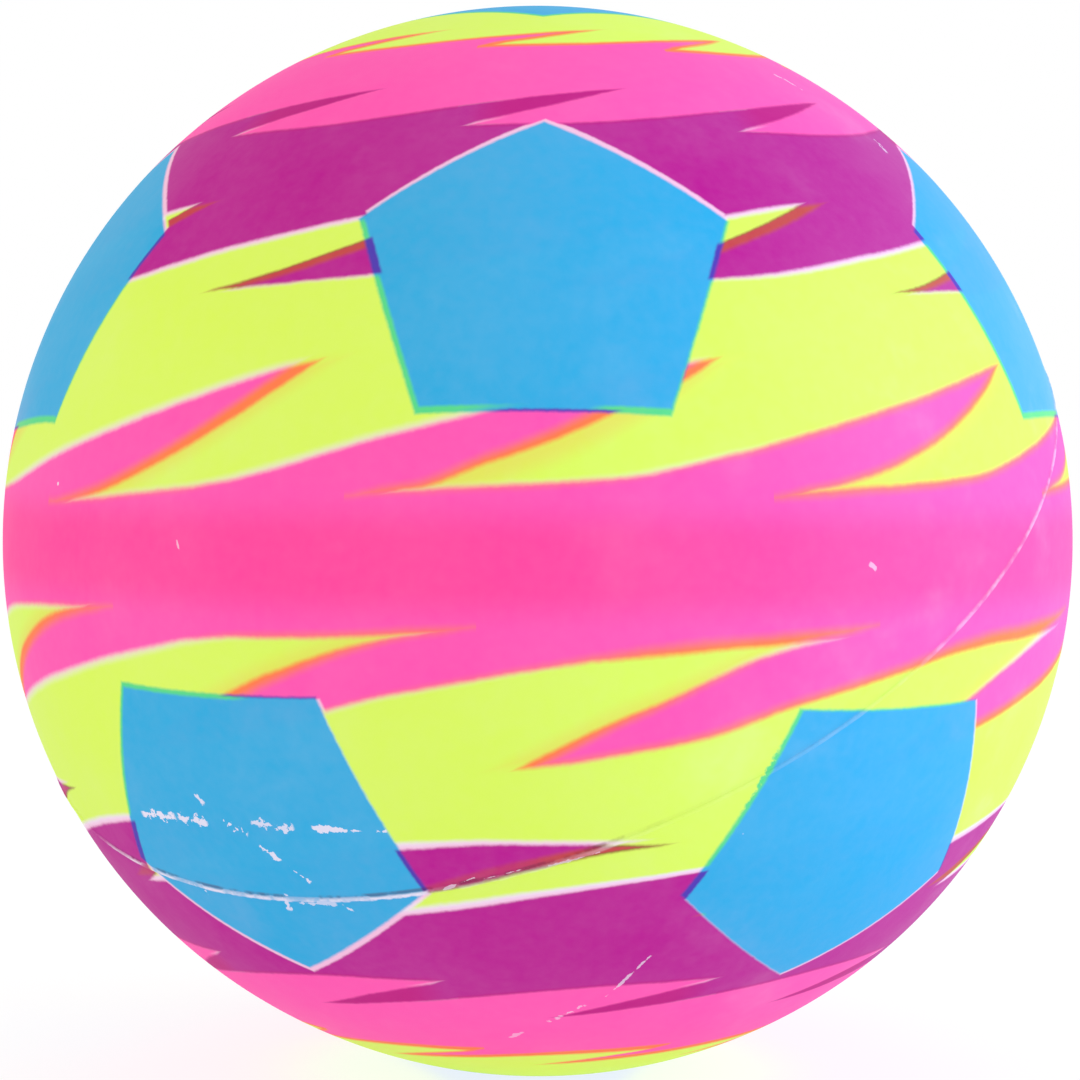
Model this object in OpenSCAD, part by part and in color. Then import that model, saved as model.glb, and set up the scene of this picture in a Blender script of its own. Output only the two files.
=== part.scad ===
// Inflatable play ball: a hollow vinyl skin moulded in two halves of a mould, with an air valve at the back.
// Millimetres. The origin is the ball's centre, +Z runs up through the poles of the printed pattern,
// -Y faces the viewer and +Y runs out through the valve.

/* [Ball] */
// Outside diameter of the ball, blown up
ball_d = 230; // [120:1:400]
// Thickness of the vinyl skin
skin_t = 0.7; // [0.5:0.1:2]

/* [Parting line] */
// Width of the raised line that the joint of the mould leaves round the skin
line_w = 1; // [0.6:0.1:3]
// Height of the raised line above the skin
line_h = 0.3; // [0.1:0.05:0.5]
// Lean of the mould's axis away from the vertical, in degrees
line_tilt = 35.5; // [0:0.5:90]
// Side towards which the mould's axis leans, in degrees from +X
line_turn = -126; // [-180:1:180]

/* [Valve pad] */
// Thickness of the skin where it is built up behind the valve, measured on the valve's axis
pad_t = 3.2; // [2.4:0.1:6]
// Width of the ring of pad left clear round the flange of the seat
pad_margin = 3; // [1:0.5:8]

/* [Valve seat] */
// Diameter of the bore that holds the plug
bore_d = 6; // [5:0.25:10]
// Wall of the seat round the plug and round its head
seat_wall = 1.8; // [1:0.1:4]
// Width of the flange outside the mouth
flange_w = 5.5; // [3:0.5:12]
// Thickness of the flange
flange_t = 1.2; // [0.8:0.1:3]
// Length of the sleeve that hangs inside the ball, below the flange
sleeve_l = 11; // [7:0.5:25]
// Fillet between the sleeve and the flange
root_r = 0.8; // [0.2:0.1:2]
// Depth of the seat's face below the edge of the mouth
face_drop = 0.2; // [0:0.05:1]

/* [Valve plug] */
// Overhang of the plug's head beyond the bore
head_lip = 1.5; // [0.8:0.1:4]
// Thickness of the plug's head
head_t = 1; // [0.8:0.1:2]
// Diameter of the hole for a pump needle
needle_d = 2; // [1.2:0.1:2.4]
// Diameter of the funnel that guides the needle in
funnel_d = 3.6; // [2.8:0.1:5]
// Depth of the funnel
funnel_t = 0.8; // [0.4:0.1:2]
// Distance between the sealing ribs on the stem
rib_pitch = 3; // [2.2:0.1:6]
// Length of one rib along the stem
rib_l = 1.8; // [1:0.1:2]
// Height of a rib above the stem
rib_h = 0.35; // [0.1:0.05:0.6]
// How far the stem shows beyond the sleeve, inside the ball
tip_out = 1.5; // [0.5:0.1:5]
// Solid end of the stem, whose closed slit the needle pushes through
tip_t = 2; // [1:0.1:3]
// Bevel round the end of the stem
tip_bevel = 0.8; // [0.2:0.1:1]

/* [Clearances] */
// Gap for the bond between the seat and the mouth
bond_gap = 0.05; // [0.02:0.01:0.2]
// Gap between the ribs and the bore they slide in
slide_gap = 0.05; // [0.02:0.01:0.1]
// Gap round the plug's head and under it
head_gap = 0.1; // [0.05:0.05:0.4]
// Bevel on the moulded edges
edge = 0.3; // [0.1:0.05:0.5]

/* [Hidden] */
$fn = 120;
over = 1;

ball_r = ball_d / 2;

// The arc of the raised line's section, from its width and height
bead_r = (line_w * line_w / 4 + line_h * line_h) / (2 * line_h);

// Radii about the valve's axis, from the needle hole outwards
needle_r = needle_d / 2;
funnel_r = funnel_d / 2;
bore_r = bore_d / 2;
rib_r = bore_r - slide_gap;
stem_r = rib_r - rib_h;
head_r = bore_r + head_lip;
pocket_r = head_r + head_gap;
sleeve_r = bore_r + seat_wall;
collar_r = pocket_r + seat_wall;
mouth_r = collar_r + bond_gap;
flange_r = mouth_r + flange_w;
pad_r = flange_r + pad_margin;

// Heights along the valve's axis, from the ball's centre outwards
pad_z = ball_r - pad_t;
flange_z = pad_z - flange_t;
sleeve_z = flange_z - sleeve_l;
tip_z = sleeve_z - tip_out;
hole_z = tip_z + tip_t;
mouth_z = sqrt(ball_r * ball_r - mouth_r * mouth_r);
face_z = mouth_z - face_drop;
head_z = face_z - head_t;
pocket_z = head_z - head_gap;

// The ribs fill the stretch of stem that the bore covers
rib_count = max(1, floor((pocket_z - sleeve_z) / rib_pitch));

// Corners of one rib, from the head down: a steep shoulder and a long slope towards the tip
function rib_corners(top) = [
    [stem_r, top],
    [rib_r, top - rib_h],
    [stem_r, top - rib_l]
];

// Half section of the plug, from the floor of the needle hole round to the tip
plug_section = concat(
    [
        [0, hole_z],
        [needle_r, hole_z],
        [needle_r, face_z - funnel_t],
        [funnel_r, face_z],
        [head_r - edge, face_z],
        [head_r, face_z - edge],
        [head_r, head_z],
        [stem_r, head_z]
    ],
    [
        for (i = [0 : rib_count - 1])
        each rib_corners(pocket_z - (rib_pitch - rib_l) / 2 - i * rib_pitch)
    ],
    [
        [stem_r, tip_z + tip_bevel],
        [stem_r - tip_bevel, tip_z],
        [0, tip_z]
    ]
);

// Half section of the seat, from the inner end of the bore round to the pocket for the plug's head
seat_section = [
    [bore_r, sleeve_z],
    [sleeve_r - edge, sleeve_z],
    [sleeve_r, sleeve_z + edge],
    [sleeve_r, flange_z - root_r],
    [sleeve_r + root_r, flange_z],
    [flange_r - edge, flange_z],
    [flange_r, flange_z + edge],
    [flange_r, pad_z],
    [collar_r, pad_z],
    [collar_r, face_z - edge],
    [collar_r - edge, face_z],
    [pocket_r, face_z],
    [pocket_r, pocket_z],
    [bore_r, pocket_z]
];

// Stands a shape drawn along +Z on the valve's axis
module along_valve() {
    rotate([-90, 0, 0])
    children();
}

// Ring that stands line_h proud of the ball, square to the mould's axis
module parting_line() {
    rotate([0, line_tilt, line_turn])
    rotate_extrude()
    translate([ball_r + line_h - bead_r, 0])
    circle(r = bead_r);
}

// Room for the air, less the pad that carries the valve
module hollow() {
    difference() {
        sphere(r = ball_r - skin_t);
        along_valve()
        translate([0, 0, pad_z])
        cylinder(r1 = pad_r, r2 = pad_r + pad_t + over, h = pad_t + over);
    }
}

// One-piece hollow moulding with its parting line, valve pad and round mouth
module skin() {
    color([1, 0.32, 0.67])
    difference() {
        union() {
            sphere(r = ball_r);
            parting_line();
        }
        hollow();
        along_valve()
        translate([0, 0, pad_z - over])
        cylinder(r = mouth_r, h = pad_t + line_h + 2 * over);
    }
}

// Flanged bush bonded under the pad, with a sleeve that grips the plug
module valve_seat() {
    color([0.93, 0.92, 0.88])
    along_valve()
    rotate_extrude()
    polygon(seat_section);
}

// Soft ribbed stopper that pulls out of the seat, bored for a pump needle
module valve_plug() {
    color([0.85, 0.85, 0.82])
    along_valve()
    rotate_extrude()
    polygon(plug_section);
}

skin();
valve_seat();
valve_plug();
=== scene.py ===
"""Dresses a packed inflatable play ball: printed vinyl skin, mould line, air valve and a plain stage."""

import math

import bpy
import numpy as np
from bpy.props import FloatProperty, FloatVectorProperty, IntProperty, PointerProperty
from mathutils import Matrix, Vector


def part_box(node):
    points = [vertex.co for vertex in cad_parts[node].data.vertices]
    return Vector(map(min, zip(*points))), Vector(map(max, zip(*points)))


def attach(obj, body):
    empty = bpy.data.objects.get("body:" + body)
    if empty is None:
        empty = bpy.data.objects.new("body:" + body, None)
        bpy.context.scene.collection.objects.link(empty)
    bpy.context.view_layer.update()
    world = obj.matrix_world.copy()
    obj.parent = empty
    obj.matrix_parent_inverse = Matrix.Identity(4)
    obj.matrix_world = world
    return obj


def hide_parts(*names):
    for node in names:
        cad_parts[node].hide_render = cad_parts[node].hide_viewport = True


bl_info = {
    "name": "Printed play ball",
    "version": (1, 0, 0),
    "blender": (4, 5, 0),
    "location": "View3D > Sidebar > Play Ball",
    "description": "Builds the skin, print, mould line, air valve and stage of an inflatable play ball",
    "category": "Add Mesh",
}

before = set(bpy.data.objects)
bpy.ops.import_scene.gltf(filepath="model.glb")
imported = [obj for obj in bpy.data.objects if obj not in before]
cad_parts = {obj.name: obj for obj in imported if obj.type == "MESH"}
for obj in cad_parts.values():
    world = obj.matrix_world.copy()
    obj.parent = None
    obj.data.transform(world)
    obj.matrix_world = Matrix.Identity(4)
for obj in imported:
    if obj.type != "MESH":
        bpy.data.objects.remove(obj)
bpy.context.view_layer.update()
SKIN_LOW, SKIN_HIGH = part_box("skin")
SEAT_LOW, SEAT_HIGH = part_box("valve_seat")
PLUG_LOW, PLUG_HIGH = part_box("valve_plug")

MM = 0.001
DEGREE = math.radians(1)
WHITE = (1.0, 1.0, 1.0, 1.0)
BALL_BODY = "ball"
PLUG_BODY = "plug"


# Settings

def length(name, note, metres):
    """A length setting, in metres."""
    return FloatProperty(name=name, description=note, unit="LENGTH", precision=5, default=metres)


def angle(name, note, degrees):
    """An angle setting, given here in degrees."""
    return FloatProperty(name=name, description=note, subtype="ANGLE", default=degrees * DEGREE)


def count(name, note, number, least=8):
    """A whole number, such as of grid rows or columns."""
    return IntProperty(name=name, description=note, min=least, default=number)


def share(name, note, value):
    """A plain share or factor."""
    return FloatProperty(name=name, description=note, subtype="FACTOR", default=value)


def power(name, note, watts):
    """The power of a lamp, in watts."""
    return FloatProperty(name=name, description=note, unit="POWER", default=watts)


def station(name, note, *metres):
    """A point in space, in metres."""
    return FloatVectorProperty(
        name=name, description=note, subtype="TRANSLATION", unit="LENGTH", size=3, default=metres
    )


def colour(name, note, *screen):
    """A colour setting, given here as the 0 to 255 values that a screen shows."""
    level = np.array(screen) / 255
    linear = np.where(level <= 0.04045, level / 12.92, ((level + 0.055) / 1.055) ** 2.4)
    return FloatVectorProperty(
        name=name, description=note, subtype="COLOR", size=3, min=0, max=1, default=linear.tolist()
    )


class SkinSettings(bpy.types.PropertyGroup):
    """Sizes of the vinyl skin."""

    radius: length("Radius", "Outside radius of the ball", (SKIN_HIGH.z - SKIN_LOW.z) / 2)
    wall: length("Wall", "Thickness of the skin", 0.7 * MM)
    mouth: length("Mouth", "Radius of the round mouth that holds the valve", 6.45 * MM)
    pad: length("Pad", "Radius of the built-up pad behind the mouth", 14.95 * MM)
    pad_depth: length("Pad depth", "Thickness of the skin at the pad, on the valve's axis", 3.2 * MM)
    rim: length("Rim", "Rounding of the mouth's edge", 0.35 * MM)
    swell: length("Swell", "Height of the slow waves that a blown-up skin keeps", 0.12 * MM)
    columns: count("Columns", "Grid columns round the valve's axis", 360)
    outer_rows: count("Outer rows", "Grid rows from the front to the mouth", 170)
    inner_rows: count("Inner rows", "Grid rows on the inside", 40)


class LineSettings(bpy.types.PropertyGroup):
    """The raised parting line that the joint of the mould leaves."""

    width: length("Width", "Width of the raised line", 1.0 * MM)
    height: length("Height", "Height of the raised line above the skin", 0.3 * MM)
    root: length("Root", "Depth to which the line's foot is sunk in the skin", 0.25 * MM)
    tilt: angle("Tilt", "Lean of the mould's axis from the vertical", 35.5)
    turn: angle("Turn", "Side towards which the mould's axis leans, from +X", -126.0)
    ragged: share("Ragged", "How much the trimmed crest varies in height", 0.3)
    wander: length("Wander", "How far the crest wanders sideways", 0.12 * MM)
    columns: count("Columns", "Sections round the ball", 2400)


class InkSettings(bpy.types.PropertyGroup):
    """Inks, what they make where they overlap, and how far each sits off its place."""

    vinyl: colour("Vinyl", "White vinyl under the inks", 240, 230, 244)
    yellow: colour("Yellow", "Fluorescent yellow", 217, 248, 92)
    pink: colour("Pink", "Fluorescent pink", 255, 84, 177)
    deep_pink: colour("Deep pink", "Pink round the middle, where both halves were sprayed", 255, 70, 158)
    purple: colour("Purple", "Purple", 185, 20, 143)
    blue: colour("Blue", "Sky blue of the pentagons", 44, 171, 222)
    orange: colour("Orange", "Pink over yellow", 255, 122, 76)
    rust: colour("Rust", "Purple over yellow", 196, 62, 74)
    bead: colour("Bead", "Purple pooled at its edge over yellow", 122, 58, 44)
    plum: colour("Plum", "Purple over pink", 190, 18, 128)
    green: colour("Green", "Blue over yellow", 84, 216, 140)
    violet: colour("Violet", "Blue over pink or purple", 78, 62, 176)
    # Painted shade: the dark line beside the foot of the mould line
    line_shade: colour("Line shade", "Painted shade at the foot of the mould line", 89, 39, 69)
    pink_turn: angle("Pink turn", "How far pink is turned from yellow", 2.2)
    purple_turn: angle("Purple turn", "How far purple is turned from yellow", -3.0)
    pink_off_upper: angle("Pink offset, upper half", "How far pink sits off its latitude at the front", 0.25)
    pink_lean_upper: angle("Pink lean, upper half", "Growth of that towards the right", 0.2)
    pink_off_lower: angle("Pink offset, lower half", "How far pink sits off its latitude at the front", 0.4)
    pink_lean_lower: angle("Pink lean, lower half", "Growth of that towards the right", 0.8)
    yellow_off_lower: angle("Yellow offset, lower half", "How far yellow sits off its latitude", -0.35)
    purple_off: angle("Purple offset", "How far purple sits off its latitude", -0.05)
    blue_off: angle("Blue offset", "How far blue sits off its latitude", -0.5)
    blue_spread: angle("Blue spread", "How far blue has spread past its mask", 0.2)
    blue_turn: angle("Blue turn", "How far each blue pentagon sits aside of its place", -0.2)
    sag: angle("Sag", "How far the stripes of the lower half hang towards the middle on the left", 1.1)


class ValveSettings(bpy.types.PropertyGroup):
    """Sizes and colours of the seat and the plug."""

    bore: length("Bore", "Radius of the seat's bore", 3.0 * MM)
    wall: length("Wall", "Wall of the seat", 1.8 * MM)
    flange: length("Flange", "Thickness of the seat's flange", 1.2 * MM)
    root: length("Root", "Fillet between the sleeve and the flange", 0.8 * MM)
    head: length("Head", "Thickness of the plug's head", 1.0 * MM)
    head_gap: length("Head gap", "Gap round the plug's head and under it", 0.1 * MM)
    slide_gap: length("Slide gap", "Gap between the plug's ribs and the bore", 0.05 * MM)
    needle: length("Needle", "Radius of the hole for a pump needle", 1.0 * MM)
    funnel: length("Funnel", "Radius of the funnel that guides the needle in", 1.8 * MM)
    funnel_depth: length("Funnel depth", "Depth of that funnel", 0.8 * MM)
    ribs: count("Ribs", "Sealing ribs on the plug's stem", 4, least=1)
    rib_pitch: length("Rib pitch", "Distance between the ribs", 3.0 * MM)
    rib_length: length("Rib length", "Length of one rib", 1.8 * MM)
    rib_height: length("Rib height", "Height of a rib above the stem", 0.35 * MM)
    tip: length("Tip", "Solid end of the stem under the needle hole", 2.0 * MM)
    bevel: length("Bevel", "Bevel round the end of the stem", 0.8 * MM)
    rounding: length("Rounding", "Rounding of the moulded edges", 0.3 * MM)
    columns: count("Columns", "Grid columns round the valve's axis", 160)
    seat_white: colour("Seat white", "Natural white of the seat", 232, 228, 220)
    plug_white: colour("Plug white", "Milky white of the plug", 222, 220, 208)
    hole_grey: colour("Darker grey", "Dust in the needle hole", 149, 142, 134)


class StageSettings(bpy.types.PropertyGroup):
    """Camera, floor and lamps."""

    distance: share("Distance", "Camera distance in ball radii", 6.06)
    lens: FloatProperty(
        name="Lens", description="Focal length in millimetres", subtype="DISTANCE_CAMERA", default=106.67
    )
    turn: angle("Turn", "Turn of the ball before the camera", 0.64)
    height: angle("Height", "Elevation of the camera", 2.15)
    roll: angle("Roll", "Roll of the camera", 0.46)
    shift_x: share("Shift X", "Sideways framing, as a share of the picture", 0.0022)
    shift_y: share("Shift Y", "Upright framing, as a share of the picture", 0.0011)
    ambient: share("Ambient", "Strength of the even light from all round", 0.85)
    floor: colour("Floor", "Pale floor", 244, 244, 246)
    floor_reach: length("Floor reach", "Half the width of the floor", 3.0)
    floor_glow: share("Floor glow", "Strength of the glow that lights the ball from below", 1.3)
    glow_share: share("Glow share", "Share of that glow in what the floor sends to the ball", 0.55)
    floor_white: share("Floor white", "Strength of the white that the floor shows", 1.1)
    white_share: share("White share", "Share of that white; the rest of the floor keeps the shadow", 0.72)
    lamp_size: length("Lamp size", "Diameter of the round lamps", 0.7)
    key: power("Key", "Power of the cool lamp on the right", 6.6)
    key_colour: colour("Key colour", "Colour of the lamp on the right", 182, 207, 255)
    key_place: station("Key place", "Where the lamp on the right stands", 0.95, -0.25, 0.3)
    fill: power("Fill", "Power of the warm lamp on the left", 1.1)
    fill_colour: colour("Fill colour", "Colour of the lamp on the left", 255, 224, 184)
    fill_place: station("Fill place", "Where the lamp on the left stands", -0.6, -0.45, 0.6)


class BallSettings(bpy.types.PropertyGroup):
    """All the settings of the ball."""

    skin: PointerProperty(type=SkinSettings)
    line: PointerProperty(type=LineSettings)
    ink: PointerProperty(type=InkSettings)
    valve: PointerProperty(type=ValveSettings)
    stage: PointerProperty(type=StageSettings)


# Shader values

class Wire:
    """A shader value: arithmetic on it adds Math nodes to the tree that it belongs to."""

    def __init__(self, tree, socket=None):
        self.tree = tree
        self.socket = socket

    def node(self, kind, settings=None, inputs=None, output=0):
        """Adds a node of any kind, sets it up, sets or links its inputs, and wraps one output, if any."""
        made = self.tree.nodes.new("ShaderNode" + kind)
        for name, value in (settings or {}).items():
            setattr(made, name, value)
        for key, value in (inputs or {}).items():
            if isinstance(value, Wire):
                self.tree.links.new(value.socket, made.inputs[key])
            else:
                made.inputs[key].default_value = value
        return Wire(self.tree, made.outputs[output] if made.outputs else None)

    def math(self, operation, *values):
        """Math node on the given values."""
        return self.node("Math", {"operation": operation}, dict(enumerate(values)))

    def __add__(self, other):
        return self.math("ADD", self, other)

    def __radd__(self, other):
        return self.math("ADD", other, self)

    def __sub__(self, other):
        return self.math("SUBTRACT", self, other)

    def __rsub__(self, other):
        return self.math("SUBTRACT", other, self)

    def __mul__(self, other):
        return self.math("MULTIPLY", self, other)

    def __rmul__(self, other):
        return self.math("MULTIPLY", other, self)

    def __truediv__(self, other):
        return self.math("DIVIDE", self, other)

    def __rtruediv__(self, other):
        return self.math("DIVIDE", other, self)

    def __mod__(self, other):
        return self.math("FLOORED_MODULO", self, other)

    def __rmod__(self, other):
        return self.math("FLOORED_MODULO", other, self)

    def __pow__(self, other):
        return self.math("POWER", self, other)

    def __rpow__(self, other):
        return self.math("POWER", other, self)

    def __neg__(self):
        return self.math("MULTIPLY", self, -1.0)

    def __abs__(self):
        return self.math("ABSOLUTE", self)

    def least(self, other):
        """The smaller of the two."""
        return self.math("MINIMUM", self, other)

    def most(self, other):
        """The larger of the two."""
        return self.math("MAXIMUM", self, other)

    def sine(self):
        """Sine of this angle in radians."""
        return self.math("SINE", self)

    def cosine(self):
        """Cosine of this angle in radians."""
        return self.math("COSINE", self)

    def rise(self, low, high):
        """0 at low and 1 at high with a smooth step between; low may be the larger."""
        inputs = {"Value": self, "From Min": low, "From Max": high}
        return self.node("MapRange", {"interpolation_type": "SMOOTHSTEP"}, inputs)

    def inked(self, fade):
        """Share of ink at a signed distance inside its edge, which fades over that much on both sides."""
        return self.rise(-fade, fade)

    def pick(self, low, high):
        """low where this value is 0 and high where it is 1."""
        return self.node("Mix", {"data_type": "FLOAT"}, {0: self, 2: low, 3: high})

    def tint(self, under, over):
        """Colour under where this value is 0 and colour over where it is 1."""
        inputs = {0: self, 6: with_alpha(under), 7: with_alpha(over)}
        return self.node("Mix", {"data_type": "RGBA"}, inputs, output=2)

    def along(self, vector):
        """Length of this vector along a fixed one."""
        return self.node("VectorMath", {"operation": "DOT_PRODUCT"}, {0: self, 1: tuple(vector)}, output=1)

    def parts(self):
        """x, y and z of this vector."""
        return [self.along(axis) for axis in ((1, 0, 0), (0, 1, 0), (0, 0, 1))]

    def away(self, point):
        """Distance of this point from a fixed one."""
        return self.node("VectorMath", {"operation": "DISTANCE"}, {0: self, 1: tuple(point)}, output=1)

    def noise(self, waves, detail=2.0, rough=0.5):
        """Noise about 0.5 at this point, with so many waves to the metre."""
        inputs = {"Vector": self, "Scale": waves, "Detail": detail, "Roughness": rough}
        return self.node("TexNoise", {"noise_dimensions": "3D"}, inputs)

    def ripple(self, swing, waves, detail=2.0, rough=0.5):
        """Noise about 0 at this point, with the given swing from end to end."""
        return (self.noise(waves, detail, rough) - 0.5) * swing


def with_alpha(value):
    """A fixed colour with its alpha; a link stays as it is."""
    return value if isinstance(value, Wire) else (*value, 1.0)


def dimmed(tone, part):
    """A fixed colour at a part of its brightness."""
    return [level * part for level in tone]


def object_place(start):
    """Place of a point in the frame that all pieces share."""
    return start.node("TexCoord", output="Object")


def new_material(name):
    """A material with an empty node tree, and the Wire that starts it."""
    material = bpy.data.materials.new(name)
    material.use_nodes = True
    material.node_tree.nodes.clear()
    return material, Wire(material.node_tree)


def finish_material(start, base, rough, height, relief, specular):
    """Joins colour, roughness and a relief of the given depth to the surface."""
    normal = start.node("Bump", None, {"Strength": 1.0, "Distance": relief, "Height": height})
    inputs = {"Base Color": base, "Roughness": rough, "Normal": normal, "Specular IOR Level": specular}
    surface = start.node("BsdfPrincipled", None, inputs)
    start.node("OutputMaterial", None, {"Surface": surface})


# The print

# Angles are in degrees, and a side is a share of the radius to the right (+X). A pair of values runs from
# where something starts to where it is full.

# Turn from stripe to stripe, and turn of the lower half's stripes
STRIPE_STEP = 40.0
LOWER_HALF_TURN = 15.0

# The wavy borders of the stripes from the middle to the pole: latitude of the low stretch and of the
# tongues' tips, longitude of a notch, length of a tongue from its notch, run before it climbs, slope of
# that run, and the power of the curve under the tongue
PINK_TO_YELLOW = (6.3, 19.4, -17.7, 74.4, 26.0, 0.055, 1.72)
YELLOW_TO_PURPLE = (26.5, 37.0, 0.0, 74.5, 24.0, 0.05, 1.45)
PURPLE_TO_PINK = (46.0, 52.7, -13.0, 66.0, 22.0, 0.025, 1.1)
PINK_TO_POLE = (61.5, 66.5, -13.0, 66.0, 22.0, 0.025, 1.1)

# Rounding of a border's knee and of a tongue's tip, and the share of its height by which a tongue is cut
# short
KNEE_ROUNDING = 1.5
TIP_CUT = 0.02

# A notch starts as a point: the run over which the tongue's underside dips to it, and by how much
NOTCH_RUN = (4.0, 0.0)
NOTCH_DIP = 0.5

# Pentagons: turn from one to the next, turn of the lower ring, latitude of a ring's middle, reach of the
# corners of the one on the pole, and half the outline of one of the ring, across and up from its middle
PENTAGON_STEP = 72.0
LOWER_RING_TURN = 38.0
RING_LATITUDE = 29.2
POLE_PENTAGON = 18.4
RING_CORNERS = ((0.0, 18.4), (18.1, 7.1), (12.2, -14.8))

# Least depth of a point along a pentagon's axis, in radii: it keeps the far side of the ball off its
# plane
LEAST_DEPTH = 0.3

# The stripes hang towards the middle on the left, in the upper half by a multiple of the lower half's sag
UPPER_SAG_SIDE = (-0.15, -0.9)
UPPER_SAG_LATITUDE = (40.0, 15.0)
UPPER_SAG = 1.5
LOWER_SAG_SIDE = (-0.35, -0.95)

# One purple tongue lies flatter than the others: its longitude and latitude, its reach in radii, the
# latitude and lean of the line that it stays under, and its slope and drop
FLAT_TONGUE = (0.0, -29.0)
FLAT_REACH = (0.5, 0.3)
FLAT_LATITUDE = (34.0, 31.5)
FLAT_LEAN = 0.12
FLAT_SLOPE = -0.055
FLAT_DROP = 0.1

# The left end of that tongue is thin too: where purple retreats, by longitude, and how far
RETREAT_LONGITUDE = (-5.0, -17.0)
RETREAT = 1.0

# Two pink tongues of the upper half are narrower than the others: longitude, latitude and how far the
# underside is raised there, and the reach of that in radii
NARROW_TONGUES = ((2.0, 11.5, 0.9), (-68.0, 13.0, 1.6))
NARROW_REACH = (0.25, 0.12)

# On the upper right, the share of pink's turn that is missing and what yellow gains by it
NEAR_PINK_SIDE = (0.1, 0.45)
NEAR_PINK = 0.6
NEAR_YELLOW = 0.09

# How far the underside of a tongue runs past its curve, for yellow by border, how steeply yellow ends at
# the middle, and how far it reaches past the cap
TONGUE_OVER = 0.12
YELLOW_MIDDLE_OVER = -0.25
YELLOW_SHOULDER_OVER = 0.2
YELLOW_CAP_OVER = -1.0
YELLOW_MIDDLE_EDGE = 0.5
YELLOW_CAP_REACH = 0.5

# Pink runs under the purple tongues of the crown: how far past its border, by what share of the tongue,
# less a start
PLUM_OVER = 0.15
PLUM_SHARE = 0.4
PLUM_START = 0.3

# The ring sits lower on the upper left and again at the edge there; the lower ring is lower and leans,
# and the pentagon on its pole is smaller
RING_DROP_SIDE = (-0.4, -0.7)
RING_DROP = 1.2
RING_EDGE_SIDE = (-0.85, -0.97)
RING_EDGE_DROP = 1.0
LOWER_RING_DROP = 0.8
LOWER_RING_LEAN = 0.6
LOWER_POLE_LATITUDE = (58.0, 66.0)
LOWER_POLE_LESS = 4.0

# Gaps that the stripes leave for the pentagons: how much wider than a pentagon those of pink and purple
# are, and how far those of purple sit off their latitude
PINK_GAP = 0.12
PURPLE_GAP = -0.1
PURPLE_GAP_OFF = 0.5

# What yellow and pink add to their gaps on the lower left, and pink at the foot of the upper ring
WIDE_GAP_SIDE = (0.2, -0.3)
YELLOW_GAP_LEFT = 0.2
PINK_GAP_LEFT = 0.4
WIDE_GAP_LATITUDE = (17.0, 15.5)
PINK_GAP_FOOT = 0.3

# On the lower right blue has no offset, but a turn; blue's share of the wandering of the edges, and the
# stretch beside the mould line where it is frayed
NEAR_BLUE_SIDE = (-0.3, 0.5)
NEAR_BLUE_TURN = 0.12
BLUE_WANDER = 0.5
FRAYED_BESIDE_LINE = (7 * MM, 1.5 * MM)
FRAYED_SIDE = (0.15, 0.35)
FRAYED_LATITUDE = (15.0, 19.0)

# Half the width over which an edge fades
STRIPE_FADE = 0.38
PURPLE_FADE = 0.26
BLUE_FADE = 0.25
GAP_FADE = 0.2
YELLOW_GAP_FADE = 0.25

# Pink mist under the tongues: how far it stays below the tongue's top, its fade and its share; and the
# haze of pink on bare vinyl round the inks
MIST_BELOW = 1.5
MIST_FADE = (-2.4, 0.3)
MIST = 0.22
HAZE_FADE = (-1.0, 0.1)
HAZE = 0.35

# Density of the inks: its least, what clouds and mottling add, and what thin spots take, at the left and
# the right; the larger take on the right is painted light that makes that side lighter
LEAST_DENSITY = 0.9
CLOUDY = 0.1
MOTTLED = 0.05
THIN_FROM = (0.5, 0.8)
THIN_AND_LIGHTER_SIDE = (0.1, 0.6)
THIN_AND_LIGHTER = (0.05, 0.19)

# Ink painted paler as painted light: pink and purple on the right, the lighter side, and blue at both edges
# as a painted sheen and on the right
LIGHTER_SIDE = (0.2, 0.7)
LIGHTER_ON_RIGHT = 0.045
PAINTED_SHEEN_EDGE = (0.88, 0.99)
PAINTED_SHEEN = 0.12
BLUE_LIGHTER_SIDE = (0.6, 0.9)
BLUE_LIGHTER_ON_RIGHT = 0.06

# Pink is deeper round the middle; purple over yellow turns to plum on the lower left and pools along its
# edge, by a share on the upper half and one on the lower
DEEP_PINK_LATITUDE = (2.0, 6.5)
PLUM_SIDE = (0.06, -0.08)
PLUM_LEFT = 0.7
POOLED_EDGE = (0.3, 0.1)
POOLED = (0.5, 0.8)
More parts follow.
